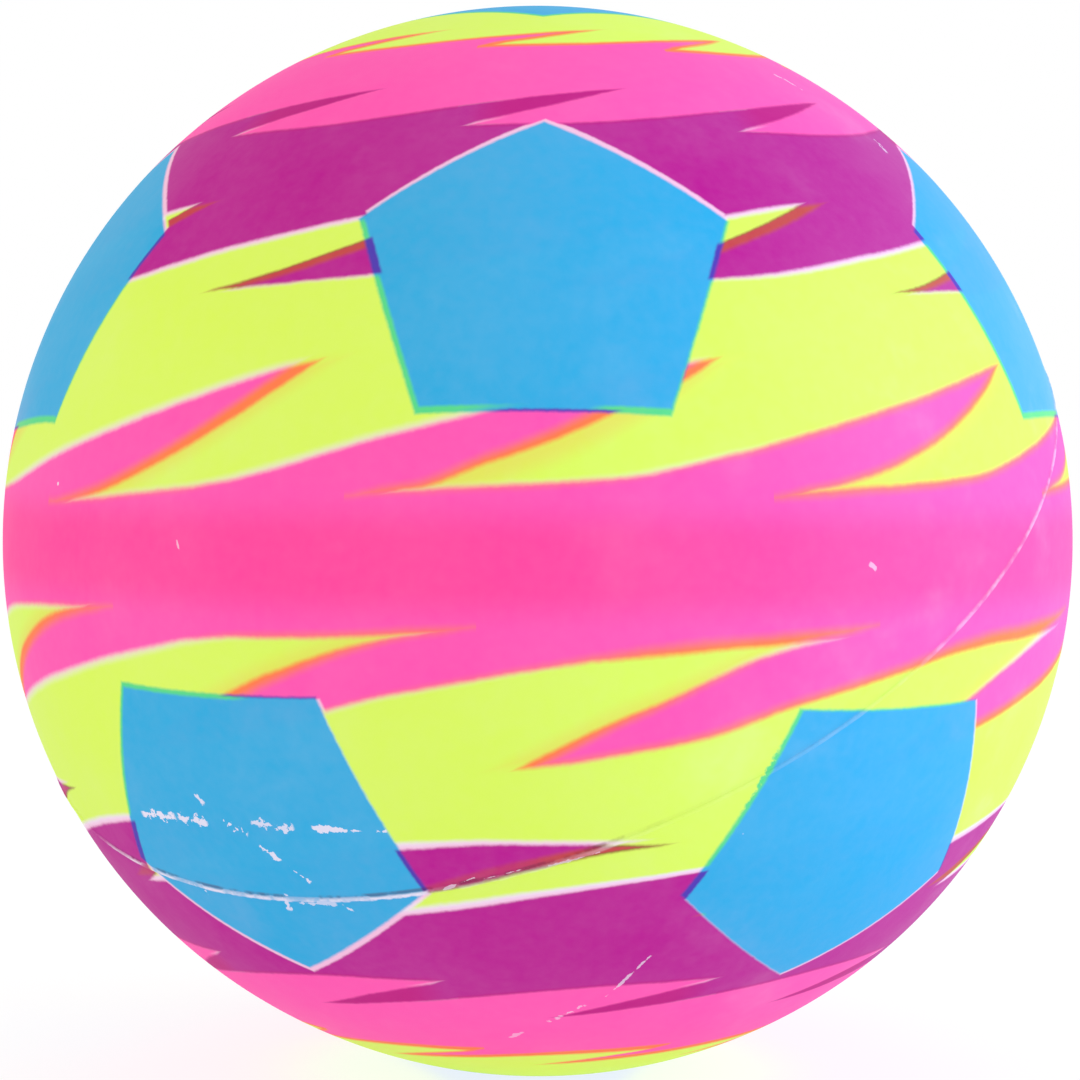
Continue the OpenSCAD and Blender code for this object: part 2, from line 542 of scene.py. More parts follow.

# Streaks of bare vinyl: cracks, rubs and specks in the ink, two pale marks on the upper right, and on the
# last two rows two painted glints: longitude and latitude of both ends, half the width, and the share of
# vinyl colour laid on
WORN_AND_GLINTS = (
    ((-49.5, -26.6), (-44.0, -26.8), 0.5, 0.9),
    ((-43.0, -26.6), (-39.0, -26.8), 0.42, 0.85),
    ((-36.5, -26.3), (-33.6, -27.6), 0.34, 0.85),
    ((-32.2, -26.2), (-27.3, -26.6), 0.4, 0.75),
    ((-24.7, -26.3), (-16.4, -26.3), 0.22, 0.85),
    ((-40.3, -22.9), (-38.3, -24.5), 0.28, 0.8),
    ((-32.2, -29.0), (-30.2, -30.5), 0.24, 0.85),
    ((-29.2, -31.3), (-27.1, -32.8), 0.22, 0.85),
    ((-46.2, -35.0), (-44.7, -35.9), 0.3, 0.6),
    ((-31.4, -34.9), (-31.9, -36.8), 0.28, 0.75),
    ((-29.7, -35.8), (-24.8, -35.4), 0.3, 0.6),
    ((-23.7, -35.6), (-22.7, -36.2), 0.22, 0.7),
    ((14.5, -41.9), (10.0, -48.5), 0.13, 0.6),
    ((7.0, -50.2), (2.0, -53.5), 0.28, 0.5),
    ((-2.0, -55.8), (-5.0, -57.4), 0.25, 0.4),
    ((-11.0, -32.8), (-7.3, -31.3), 0.09, 0.6),
    ((-6.2, -31.4), (-1.4, -30.0), 0.08, 0.55),
    ((0.8, -29.7), (6.2, -28.2), 0.09, 0.55),
    ((51.0, 57.9), (54.0, 55.0), 0.3, 0.5),
    ((60.4, 47.3), (60.5, 45.3), 0.3, 0.6),
    # Two painted glints
    ((-37.0, 1.5), (-36.7, 0.7), 0.15, 0.5),
    ((32.3, 0.0), (32.9, -0.6), 0.2, 0.5),
)

# Share of a streak's width that is bare right across, and how far the grain closes it, in widths
STREAK_CORE = 0.6
STREAK_CLOSED = 0.3

# Middle of the stretch where the ball was folded flat, longitude and latitude, and its reach in radii
FOLD = (-26.0, -35.0)
FOLD_REACH = (0.62, 0.45)

# Bare vinyl and a painted highlight on the crest of the mould line: its width, how far it strays where it is
# chipped, and the share that shows everywhere, in the fold and on the right, the lit side, between chips
# and on them; yellow hides some of it
CREST_WIDTH = (0.75 * MM, 0.25 * MM)
CREST_STRAY = 0.35 * MM
CREST_SHOWS = 0.05
CREST_IN_FOLD = (0.25, 0.85)
CREST_HIGHLIGHT_SIDE = (0.3, 0.85)
CREST_HIGHLIGHT_ON_RIGHT = (0.06, 0.38)
CREST_UNDER_YELLOW = 0.7
CHIPPED_FROM = (0.4, 0.62)

# Painted shade along one side of the foot of the mould line: its distance, its width, and its share outside
# the fold and in it
SHADE_LINE_DISTANCE = 0.8 * MM
SHADE_LINE_WIDTH = (0.7 * MM, 0.1 * MM)
SHADE_LINE_SHOWS = (0.04, 0.54)

# Specks: cells to the metre, size of a speck in cells, the share of cells that have one, and the ink that
# is lost
SPECK_CELLS = 75.0
SPECK_SIZE = (0.035, 0.02)
SPECK_CHOICE = (0.78, 0.82)
SPECK_LOSS = 0.8

# Noises of the skin: waves to the metre, detail and roughness, with the swing first where there is one
RAGGED_EDGE = (0.22, 700, 3, 0.6)
WANDERING_EDGE = (0.35, 70)
FRAYED_EDGE = (3.2, 320, 3, 0.65)
THIN_SPOTS = (33, 4, 0.6)
CLOUDS = (28, 3)
MOTTLING = (420,)
FINE_GRAIN = (4.5, 950, 2, 0.6)
COARSE_GRAIN = (6.5, 260)
CHIPS = (180, 3, 0.65)
SHEEN = (55, 3)
FINE_RELIEF = (900,)
SOFT_RELIEF = (140,)

# Finish of the skin: range of its roughness, what a streak adds to that, share of the fine relief in the
# soft one, depth of the relief, and specular level
SKIN_ROUGH = (0.52, 0.66)
STREAK_ROUGH = 0.15
FINE_RELIEF_SHARE = 0.35
SKIN_RELIEF = 0.06 * MM
SKIN_SPECULAR = 0.1


def direction(lon, lat):
    """Unit vector at a longitude and latitude in degrees: longitude 0 is the front (-Y), 90 is +X."""
    level = math.cos(lat * DEGREE)
    return Vector((level * math.sin(lon * DEGREE), -level * math.cos(lon * DEGREE), math.sin(lat * DEGREE)))


def mould_axis(line):
    """Unit vector along the mould's axis, square to the parting line."""
    lean = math.sin(line.tilt)
    return Vector((lean * math.cos(line.turn), lean * math.sin(line.turn), math.cos(line.tilt)))


def border_curves(lon, border, shift):
    """Latitudes of a wavy border turned by a shift, and of the top and underside of the tongue over it.

    From a notch the border creeps up a gentle slope, then climbs straight to a tongue's tip. A smooth
    maximum of the two lines rounds the knee. The underside of the tongue leaves the next notch on a power
    curve that dips at its start, and a smooth minimum blunts the tip.
    """
    low, tip, notch, reach, knee, creep, bend = border
    climb = (tip - low - creep * knee) / (reach - knee)
    run = (lon - (notch + shift)) % STRIPE_STEP

    def top(run):
        creeping = run * creep + low
        climbing = (run - knee) * climb + (low + creep * knee)
        return run.math("SMOOTH_MAX", creeping, climbing, KNEE_ROUNDING)

    dip = run.rise(*NOTCH_RUN) * NOTCH_DIP
    underside = (run / (reach - STRIPE_STEP)) ** bend * (tip - low) + low - dip
    blunt = tip - (tip - low) * TIP_CUT
    tongue_top = run.math("SMOOTH_MIN", top(run + STRIPE_STEP), blunt, KNEE_ROUNDING)
    return top(run), tongue_top, underside


def below(curves, lat, over):
    """Signed distance below a wavy border: under the border itself, or inside the tongue over it."""
    border, tongue_top, underside = curves
    return (border - lat).most((tongue_top - lat).least(lat - underside + over))


def pentagon(turn, lat):
    """Signed distance in degrees inside the pentagons of one half: a ring of five and one on the pole.

    Each is flat on the plane that touches the ball at its middle, so its edges are great circles. turn is
    the longitude from the middle of the nearest one of the ring.
    """
    level, rise = (lat * DEGREE).cosine(), (lat * DEGREE).sine()
    across, ahead = level * (turn * DEGREE).sine(), level * (turn * DEGREE).cosine()
    cos_ring, sin_ring = math.cos(RING_LATITUDE * DEGREE), math.sin(RING_LATITUDE * DEGREE)
    depth = (ahead * cos_ring + rise * sin_ring).most(LEAST_DEPTH) * DEGREE
    x = abs(across) / depth
    y = (rise * cos_ring - ahead * sin_ring) / depth
    ring = y - RING_CORNERS[-1][1]
    for (x0, y0), (x1, y1) in zip(RING_CORNERS, RING_CORNERS[1:]):
        size = math.hypot(x1 - x0, y1 - y0)
        normal_x, normal_y = (y0 - y1) / size, (x1 - x0) / size
        ring = ring.least((normal_x * x0 + normal_y * y0) - (x * normal_x + y * normal_y))
    half = PENTAGON_STEP / 2
    far = level / (rise.most(LEAST_DEPTH) * DEGREE)
    pole = POLE_PENTAGON * math.cos(half * DEGREE) - far * ((abs(turn) - half) * DEGREE).cosine()
    return ring.most(pole)


class SkinPoint:
    """A point of the skin as the print meets it.

    place is in metres and way is its direction from the centre. x is its side, lon its longitude, lat its
    latitude from the middle, lower is 1 on the lower half, and off_line is its distance from the plane of
    the mould line. Masks are cut by hand and spray spreads, so every edge is a little ragged and wanders.
    """

    def __init__(self, start, ball):
        self.place = object_place(start)
        self.way = start.node("VectorMath", {"operation": "NORMALIZE"}, {0: self.place})
        self.x, y, z = self.way.parts()
        self.lon = start.math("ARCTAN2", self.x, -y) / DEGREE
        self.lat = abs(start.math("ARCSINE", z)) / DEGREE
        self.lower = start.math("LESS_THAN", z, 0.0)
        self.off_line = self.way.along(mould_axis(ball.line)) * ball.skin.radius
        self.ragged = self.place.ripple(*RAGGED_EDGE)
        self.wander = self.place.ripple(*WANDERING_EDGE)


class Stripes:
    """The masks of the stripes at a point. pink, purple and yellow give the signed distance inside them."""

    def __init__(self, at, ink):
        self.at, self.ink = at, ink
        self.lon = at.lower.pick(at.lon, LOWER_HALF_TURN - at.lon)
        self.flat = at.way.away(direction(*FLAT_TONGUE)).rise(*FLAT_REACH)
        self.raised = sum(
            at.way.away(direction(lon, lat)).rise(*NARROW_REACH) * raised
            for lon, lat, raised in NARROW_TONGUES
        )
        self.lat = self.masked_latitude()
        self.near = at.x.rise(*NEAR_PINK_SIDE) * (1 - at.lower)
        self.pink_half = (1 - self.near * NEAR_PINK) * (ink.pink_turn / DEGREE / 2)
        self.purple_half = ink.purple_turn / DEGREE / 2
        upper_off = at.x * (ink.pink_lean_upper / DEGREE) + ink.pink_off_upper / DEGREE
        lower_off = at.x * (ink.pink_lean_lower / DEGREE) + ink.pink_off_lower / DEGREE
        self.pink_lat = self.lat - at.lower.pick(upper_off, lower_off)
        self.middle = border_curves(self.lon, PINK_TO_YELLOW, self.pink_half)
        self.crown = border_curves(self.lon, PURPLE_TO_PINK, 0.0)

    def masked_latitude(self):
        """Latitude of the point on the masks, with the sag on the left and the one flatter tongue."""
        at = self.at
        upper_sag = at.x.rise(*UPPER_SAG_SIDE) * at.lat.rise(*UPPER_SAG_LATITUDE) * UPPER_SAG
        sag = at.lower.pick(upper_sag, at.x.rise(*LOWER_SAG_SIDE)) * (self.ink.sag / DEGREE)
        flat = self.flat * (at.lat + at.lon * FLAT_LEAN).rise(*FLAT_LATITUDE)
        return at.lat + sag + flat * (at.lon * FLAT_SLOPE - FLAT_DROP) + at.ragged + at.wander

    def pink(self):
        """The band round the middle with its tongues, and the one between the crown and the cap."""
        cap = border_curves(self.lon, PINK_TO_POLE, self.pink_half)
        border, _, underside = self.crown
        plum = (self.lat - border + PLUM_OVER).least((underside - border) * PLUM_SHARE - PLUM_START)
        upper = (-below(self.crown, self.lat, TONGUE_OVER)).most(plum)
        upper = upper.least(below(cap, self.pink_lat, TONGUE_OVER))
        return below(self.middle, self.pink_lat, TONGUE_OVER - self.raised).most(upper)

    def purple(self):
        """The band between the yellow and the crown."""
        shoulder = border_curves(self.lon, YELLOW_TO_PURPLE, self.purple_half)
        retreat = self.flat * self.at.lon.rise(*RETREAT_LONGITUDE) * RETREAT
        outside = below(shoulder, self.lat - self.ink.purple_off / DEGREE, retreat + TONGUE_OVER)
        return (-outside).least(below(self.crown, self.lat - PLUM_OVER, TONGUE_OVER))

    def yellow(self):
        """The band between the pink of the middle and the purple, and the cap round the pole."""
        middle = border_curves(self.lon, PINK_TO_YELLOW, -self.pink_half)
        shoulder = border_curves(self.lon, YELLOW_TO_PURPLE, -self.purple_half)
        cap = border_curves(self.lon, PINK_TO_POLE, -self.pink_half)
        lat = self.lat - self.at.lower * (self.ink.yellow_off_lower / DEGREE)
        middle_over = YELLOW_MIDDLE_OVER - self.raised
        band = self.near * NEAR_YELLOW - below(middle, lat, middle_over) * YELLOW_MIDDLE_EDGE
        band = band.least(below(shoulder, lat, YELLOW_SHOULDER_OVER))
        return band.most(-below(cap, lat + YELLOW_CAP_REACH, YELLOW_CAP_OVER))

    def mist(self):
        """Share of pink mist that drifted onto the yellow under the tongues of the middle."""
        _, tongue_top, underside = self.middle
        drift = (tongue_top - self.pink_lat - MIST_BELOW).least(self.pink_lat - underside)
        return drift.rise(*MIST_FADE) * MIST


def pentagons(at, ink):
    """Signed distances inside the gap of pink and yellow, the gap of purple, and the blue in them."""
    half = PENTAGON_STEP / 2
    turn = (at.lon - at.lower * LOWER_RING_TURN + half) % PENTAGON_STEP - half
    upper_drop = at.x.rise(*RING_DROP_SIDE) * RING_DROP + at.x.rise(*RING_EDGE_SIDE) * RING_EDGE_DROP
    smaller_pole = at.lat.rise(*LOWER_POLE_LATITUDE) * LOWER_POLE_LESS
    lower_drop = LOWER_RING_DROP - at.x * LOWER_RING_LEAN - smaller_pole
    lat = at.lat + at.lower.pick(upper_drop, lower_drop)
    gap = pentagon(turn, lat) + at.ragged
    purple_gap = pentagon(turn, lat - PURPLE_GAP_OFF) + at.ragged

    near = at.lower * at.x.rise(*NEAR_BLUE_SIDE)
    blue_turn = turn - ink.blue_turn / DEGREE + near * NEAR_BLUE_TURN
    blue_lat = lat - (1 - near) * (ink.blue_off / DEGREE)
    blue = pentagon(blue_turn, blue_lat) + at.ragged + at.wander * BLUE_WANDER
    frayed = abs(at.off_line).rise(*FRAYED_BESIDE_LINE) * at.x.rise(*FRAYED_SIDE)
    frayed = at.place.ripple(*FRAYED_EDGE) * frayed * at.lat.rise(*FRAYED_LATITUDE)
    return gap, purple_gap, blue + ink.blue_spread / DEGREE + frayed


class Coats:
    """The inks at a point: the share of each that reached it, and the colour that they make together."""

    def __init__(self, at, ink):
        self.at, self.ink = at, ink
        stripes = Stripes(at, ink)
        pink_in, self.purple_in = stripes.pink(), stripes.purple()
        gap, purple_gap, blue_in = pentagons(at, ink)
        on_left = at.x.rise(*WIDE_GAP_SIDE)
        at_foot = at.lat.rise(*WIDE_GAP_LATITUDE)
        yellow_gap = gap + at.lower * on_left * YELLOW_GAP_LEFT
        pink_gap = gap + PINK_GAP + at.lower.pick(at_foot * PINK_GAP_FOOT, on_left * PINK_GAP_LEFT)
        self.yellow = stripes.yellow().inked(STRIPE_FADE) * (1 - yellow_gap.inked(YELLOW_GAP_FADE))
        self.pink = pink_in.inked(STRIPE_FADE) * (1 - pink_gap.inked(GAP_FADE))
        self.purple = self.purple_in.inked(PURPLE_FADE) * (1 - (purple_gap + PURPLE_GAP).inked(GAP_FADE))
        self.blue = blue_in.inked(BLUE_FADE)
        self.mist = stripes.mist()
        self.haze = pink_in.most(self.purple_in).rise(*HAZE_FADE) * HAZE

    def density(self):
        """Share of vinyl that an ink hides: clouds, mottling and thin spots, more on the right as painted
        light.
        """
        place = self.at.place
        # Thin spots are random; their larger share on the right paints that side lighter
        thin = place.noise(*THIN_SPOTS).rise(*THIN_FROM) * self.at.x.rise(*THIN_AND_LIGHTER_SIDE).pick(*THIN_AND_LIGHTER)
        return place.noise(*CLOUDS) * CLOUDY + place.noise(*MOTTLING) * MOTTLED + LEAST_DENSITY - thin

    def pink_colour(self):
        """Pink, deeper round the middle, and orange over yellow."""
        alone = self.at.lat.rise(*DEEP_PINK_LATITUDE).tint(self.ink.deep_pink, self.ink.pink)
        return self.yellow.tint(alone, self.ink.orange)

    def purple_colour(self):
        """Purple, plum over pink, and rust over yellow with a dark bead along its edge."""
        ink, at = self.ink, self.at
        on_yellow = (at.lower * at.x.rise(*PLUM_SIDE) * PLUM_LEFT).tint(ink.rust, ink.plum)
        purple = self.yellow.tint(self.pink.tint(ink.purple, ink.plum), on_yellow)
        pooled = self.purple_in.rise(*POOLED_EDGE) * self.yellow * at.lower.pick(*POOLED)
        return pooled.tint(purple, ink.bead)

    def blue_colour(self):
        """Blue, green over yellow, and violet over pink or purple."""
        ink = self.ink
        return self.pink.most(self.purple).tint(self.yellow.tint(ink.blue, ink.green), ink.violet)

    def colour(self):
        """Vinyl with its haze, then yellow, mist, pink, purple and blue, each over the last."""
        ink, x = self.ink, self.at.x
        dense = self.density()
        # Painted light: pink and purple are made paler on the right, blue at both edges and on the right
        lit_density = dense - x.rise(*LIGHTER_SIDE) * LIGHTER_ON_RIGHT
        pale = abs(x).rise(*PAINTED_SHEEN_EDGE) * PAINTED_SHEEN + x.rise(*BLUE_LIGHTER_SIDE) * BLUE_LIGHTER_ON_RIGHT
        base = (self.yellow * dense).tint(self.haze.tint(ink.vinyl, ink.pink), ink.yellow)
        base = (self.yellow * self.mist).tint(base, ink.orange)
        base = (self.pink * lit_density).tint(base, self.pink_colour())
        base = (self.purple * lit_density).tint(base, self.purple_colour())
        return (self.blue * (dense - pale)).tint(base, self.blue_colour())


def worn_ink_and_glints(at):
    """Share of vinyl colour along short great-circle streaks with a ragged grain: worn ink and two painted
    glints.
    """
    grain = at.place.ripple(*FINE_GRAIN) + at.place.ripple(*COARSE_GRAIN) + STREAK_CLOSED
    lost = None
    for start, end, half_width, loss in WORN_AND_GLINTS:
        first, last = direction(*start), direction(*end)
        width = half_width * DEGREE
        reach = (first - last).length / 2
        side = abs(at.way.along(first.cross(last).normalized())) + grain * width
        within = at.way.away((first + last).normalized()).rise(reach + width, reach)
        streak = side.rise(width, width * STREAK_CORE) * within * loss
        lost = streak if lost is None else lost.most(streak)
    return lost


def line_wear_and_painted_light(at, yellow):
    """Shares of bare vinyl with painted highlight on the line's crest and of painted shade at its foot, most
    in the fold.
    """
    chipped = at.place.noise(*CHIPS).rise(*CHIPPED_FROM)
    folded = at.way.away(direction(*FOLD)).rise(*FOLD_REACH)
    highlight_side = at.x.rise(*CREST_HIGHLIGHT_SIDE)
    shows = folded * chipped.pick(*CREST_IN_FOLD) + highlight_side * chipped.pick(*CREST_HIGHLIGHT_ON_RIGHT) + CREST_SHOWS
    stray = (chipped - 0.5) * folded * CREST_STRAY
    # Bare vinyl on the crest, with a painted highlight that shows more on the right
    crest = abs(at.off_line + stray).rise(*CREST_WIDTH) * shows * (1 - yellow * CREST_UNDER_YELLOW)
    # Painted shade: a dark line on one side of the mould line's foot
    foot = abs(at.off_line - SHADE_LINE_DISTANCE).rise(*SHADE_LINE_WIDTH) * (folded * chipped).pick(*SHADE_LINE_SHOWS)
    return crest, foot


def specks(at):
    """Share of ink lost to specks: a dot in the middle of a few cells chosen by their random colour."""
    inputs = {"Vector": at.place, "Scale": SPECK_CELLS}
    distance = at.place.node("TexVoronoi", None, inputs, output="Distance")
    red = at.place.node("TexVoronoi", None, inputs, output="Color").along((1, 0, 0))
    return distance.rise(*SPECK_SIZE) * red.rise(*SPECK_CHOICE) * SPECK_LOSS


def printed_vinyl(ball):
    """White vinyl under four sprayed inks, each a little off its place, with cracks, painted glints and a
    chipped mould line.
    """
    material, start = new_material("printed_vinyl")
    at = SkinPoint(start, ball)
    coats = Coats(at, ball.ink)
    worn_and_glints = worn_ink_and_glints(at)
    crest, foot = line_wear_and_painted_light(at, coats.yellow)
    # Painted shade at the foot of the mould line
    base = foot.tint(coats.colour(), ball.ink.line_shade)
    # Cracks, two painted glints, the crest of the mould line with its painted highlight, and specks, in
    # vinyl colour
    base = worn_and_glints.most(crest).most(specks(at)).tint(base, ball.ink.vinyl)
    rough = at.place.noise(*SHEEN).pick(*SKIN_ROUGH) + worn_and_glints * STREAK_ROUGH
    height = at.place.noise(*FINE_RELIEF) * FINE_RELIEF_SHARE + at.place.noise(*SOFT_RELIEF)
    finish_material(start, base, rough, height, SKIN_RELIEF, SKIN_SPECULAR)
    return material


# Finishes of the valve and the floor

# A noise is waves to the metre, detail and roughness, as for the skin.

# Pink spray on the face of the seat: its depth below the face, the radius from which it reached in, how
# far that radius strays, and its share
SPRAY_DEPTH = (0.8 * MM, 0.1 * MM)
SPRAY_RADIUS = (4.9 * MM, 6.9 * MM)
SPRAY_STRAY = 3 * MM
SPRAY = 0.85

# White of the seat: its noises, the range of noise that shades it, its darkest shade, and its finish
SEAT_CLOUDS = (260, 3)
SEAT_MOTTLING = (1500,)
SEAT_GRAIN = (1200,)
SEAT_CLOUD_RELIEF = 0.5
SEAT_SHADED = (0.3, 0.75)
SEAT_DARK = 0.9
SEAT_ROUGH = (0.36, 0.52)
SEAT_RELIEF = 0.03 * MM
SEAT_SPECULAR = 0.35

# Milky rubber of the plug: its noises, the range of bloom that shades it, its darkest shade, the pitch of
# the turning marks, the shares of marks and bloom in the relief, and its finish
PLUG_BLOOM = (420, 3)
PLUG_GRAIN = (1700,)
PLUG_SHADED = (0.3, 0.7)
PLUG_DARK = 0.88
TURNING_PITCH = 0.35 * MM
TURNING_RELIEF = 0.25
BLOOM_RELIEF = 0.4
PLUG_ROUGH = (0.44, 0.64)
PLUG_RELIEF = 0.025 * MM
PLUG_SPECULAR = 0.4

# Darker grey in the plug's needle hole: the radius inside which it lies, and its share
HOLE_GREY_RADIUS = (1.5 * MM, 1.0 * MM)
HOLE_GREY_SHARE = 0.55


def off_valve_axis(place):
    """Distance of a point from the valve's axis, and its height along it."""
    x, y, z = place.parts()
    return (x * x + z * z) ** 0.5, y


def seat_vinyl(ball):
    """Natural white vinyl with a faint grain, tinted by pink spray that reached in from the rim."""
    material, start = new_material("seat_vinyl")
    place = object_place(start)
    off_axis, height = off_valve_axis(place)
    cloud = place.noise(*SEAT_CLOUDS)
    face = height.rise(*(SEAT_HIGH.y - depth for depth in SPRAY_DEPTH))
    spray = face * (off_axis + (cloud - 0.5) * SPRAY_STRAY).rise(*SPRAY_RADIUS)
    shade = ((cloud + place.noise(*SEAT_MOTTLING)) / 2).rise(*SEAT_SHADED)
    white = shade.tint(dimmed(ball.valve.seat_white, SEAT_DARK), ball.valve.seat_white)
    base = (spray * SPRAY).tint(white, ball.ink.pink)
    relief = place.noise(*SEAT_GRAIN) + cloud * SEAT_CLOUD_RELIEF
    finish_material(start, base, cloud.pick(*SEAT_ROUGH), relief, SEAT_RELIEF, SEAT_SPECULAR)
    return material


def plug_rubber(ball):
    """Milky soft rubber: a dull bloom, faint turning marks and a darker grey in the needle hole."""
    material, start = new_material("plug_rubber")
    place = object_place(start)
    off_axis, _ = off_valve_axis(place)
    bloom = place.noise(*PLUG_BLOOM)
    marks = (off_axis * (2 * math.pi / TURNING_PITCH)).sine() / 2 + 0.5
    shade = bloom.rise(*PLUG_SHADED)
    milky = shade.tint(dimmed(ball.valve.plug_white, PLUG_DARK), ball.valve.plug_white)
    # Darker grey inside the needle hole
    base = (off_axis.rise(*HOLE_GREY_RADIUS) * HOLE_GREY_SHARE).tint(milky, ball.valve.hole_grey)
    relief = place.noise(*PLUG_GRAIN) + marks * TURNING_RELIEF + bloom * BLOOM_RELIEF
    finish_material(start, base, bloom.pick(*PLUG_ROUGH), relief, PLUG_RELIEF, PLUG_SPECULAR)
    return material


def floor_paint(stage):
    """Pale floor that shows white where no shadow falls, and that lights the ball from below."""
    material, start = new_material("floor_paint")
    paint = with_alpha(stage.floor)
    bounce = start.node("BsdfDiffuse", None, {"Color": paint})
    glow = start.node("Emission", None, {"Color": paint, "Strength": stage.floor_glow})
    white = start.node("Emission", None, {"Color": WHITE, "Strength": stage.floor_white})
    unseen = start.node("MixShader", None, {0: stage.glow_share, 1: bounce, 2: glow})
    seen = start.node("MixShader", None, {0: stage.white_share, 1: bounce, 2: white})
    surface = start.node("MixShader", None, {0: seen_ray(start), 1: unseen, 2: seen})
    start.node("OutputMaterial", None, {"Surface": surface})
    return material


def seen_ray(start):
    """1 for rays that show the background: from the camera, mirrored, or through clear material."""
    camera = start.node("LightPath", output="Is Camera Ray")
    glossy = start.node("LightPath", output="Is Glossy Ray")
    through = start.node("LightPath", output="Is Transmission Ray")
    return camera.most(glossy).most(through)


# Shapes

# Slow waves of the blown-up skin: radians to the radius along x, y and z, and a phase. The short wave has
# a share of its own, and all end towards the valve between two heights, in radii
LONG_WAVE = (3.1, 0.0, 1.7, 0.6)
CROSS_WAVE = (0.0, 2.3, -1.1, math.pi / 2)
SHORT_WAVE = (-2.9, 0.0, 4.7, 1.9)
SHORT_WAVE_SHARE = 0.6
CALM_FROM, CALM_TO = 0.885, 0.985

# Waves of the mould line round the ball, with their phases: of its height and of its crest's place
HEIGHT_WAVES = ((67, 0.4), (149, 2.2), (283, 1.1), (467, 3.0))
STRAY_WAVES = ((41, 1.3), (113, 0.2), (241, 2.7))

# Places across half of the mould line's section, in half widths; the one past 1 is its sunk foot
LINE_PLACES = (0.14, 0.42, 0.72, 1.0, 1.3)

# Angle that the inside of the skin leaves to the rounding at the pad's heel
HEEL_ROOM = 0.004

# Rounding of sharper and blunter moulded edges, as shares of the usual one
SHARP_RIM = 1 / 3
SHARP_SEAT = 1 / 4
SHARP_PLUG = 1 / 3
POCKET_EDGE = 1 / 2
HEAD_EDGE = 1.3
RIB_CREST = 2 / 3


def add_object(name, data):
    """Object in the scene that holds a mesh, a camera or a lamp."""
    made = bpy.data.objects.new(name, data)
    bpy.context.scene.collection.objects.link(made)
    return made


def add_piece(name, points, faces, material, body, slot, *nodes):
    """Object at the origin from points and faces, which rides a body and stands for CAD nodes."""
    mesh = bpy.data.meshes.new(name)
    mesh.from_pydata(points.reshape(-1, 3).tolist(), [], faces)
    mesh.validate()
    mesh.shade_smooth()
    mesh.materials.append(material)
    piece = add_object(name, mesh)
    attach(piece, body)
    if nodes:
        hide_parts(*nodes)


def grid_faces(rows, columns, loop):
    """Quads of a grid whose columns close on themselves, and whose rows do too if loop is set."""
    row = np.arange(rows if loop else rows - 1)[:, None]
    column = np.arange(columns)[None, :]
    here, there = row * columns, (row + 1) % rows * columns
    after = (column + 1) % columns
    return np.stack([here + column, there + column, there + after, here + after], axis=-1).reshape(-1, 4)


def pole_faces(pole, ring, columns, flip):
    """Triangles from a pole to every edge of the ring that starts at the given vertex."""
    column = np.arange(columns)
    after = (column + 1) % columns
    ends = (after, column) if flip else (column, after)
    return np.stack([np.full(columns, pole), ring + ends[0], ring + ends[1]], axis=-1)


def rounded(corners, cuts, steps=4):
    """One row of points for each corner: a parabola that leaves both sides of it at the corner's own cut."""
    corners, cuts = np.array(corners), np.array(cuts)[:, None]
    back, ahead = np.roll(corners, 1, axis=0) - corners, np.roll(corners, -1, axis=0) - corners
    first = corners + back * cuts / np.linalg.norm(back, axis=1, keepdims=True)
    last = corners + ahead * cuts / np.linalg.norm(ahead, axis=1, keepdims=True)
    part = np.linspace(0, 1, steps + 1)[None, :, None]
    rest = 1 - part
    return rest**2 * first[:, None] + 2 * part * rest * corners[:, None] + part**2 * last[:, None]


def turned(outline, columns):
    """Points of an outline of radius and height carried round the valve's axis: r cos a, height, r sin a."""
    around = np.linspace(0, 2 * math.pi, columns, endpoint=False)
    radius, height = outline[:, :1], outline[:, 1:]
    return np.stack([radius * np.cos(around), height + 0 * around, radius * np.sin(around)], axis=-1)


def turned_ring(outline, columns):
    """Points and faces of a closed outline carried round the valve's axis."""
    return turned(outline, columns), grid_faces(len(outline), columns, True).tolist()


def turned_solid(outline, columns):
    """Points and faces of an outline from the axis back to the axis, with one point at each pole."""
    points = turned(outline[1:-1], columns).reshape(-1, 3)
    poles = np.array([[0, outline[0, 1], 0], [0, outline[-1, 1], 0]])
    rows, rings = len(outline) - 2, len(points)
    faces = grid_faces(rows, columns, False).tolist()
    faces += pole_faces(rings, 0, columns, False).tolist()
    faces += pole_faces(rings + 1, rings - columns, columns, True).tolist()
    return np.concatenate([points, poles]), faces


def swelling(way):
    """Slow waves over the ball, from -1 to 1, for unit vectors.

    The long wave times the cross wave, plus a share of the short one. A smooth step ends them at the valve.
    """
    waves = (LONG_WAVE, CROSS_WAVE, SHORT_WAVE)
    long, cross, short = (np.sin(way @ np.array(along) + phase) for *along, phase in waves)
    calm = np.clip((CALM_TO - way[..., 1]) / (CALM_TO - CALM_FROM), 0, 1)
    return (long * cross + SHORT_WAVE_SHARE * short) / (1 + SHORT_WAVE_SHARE) * calm**2 * (3 - 2 * calm)


def arc(radius, start, end, rows):
    """Radius and height of a circle about the centre, by the angle from the front pole."""
    theta = np.linspace(start, end, rows)
    return np.stack([radius * np.sin(theta), -radius * np.cos(theta)], axis=1)


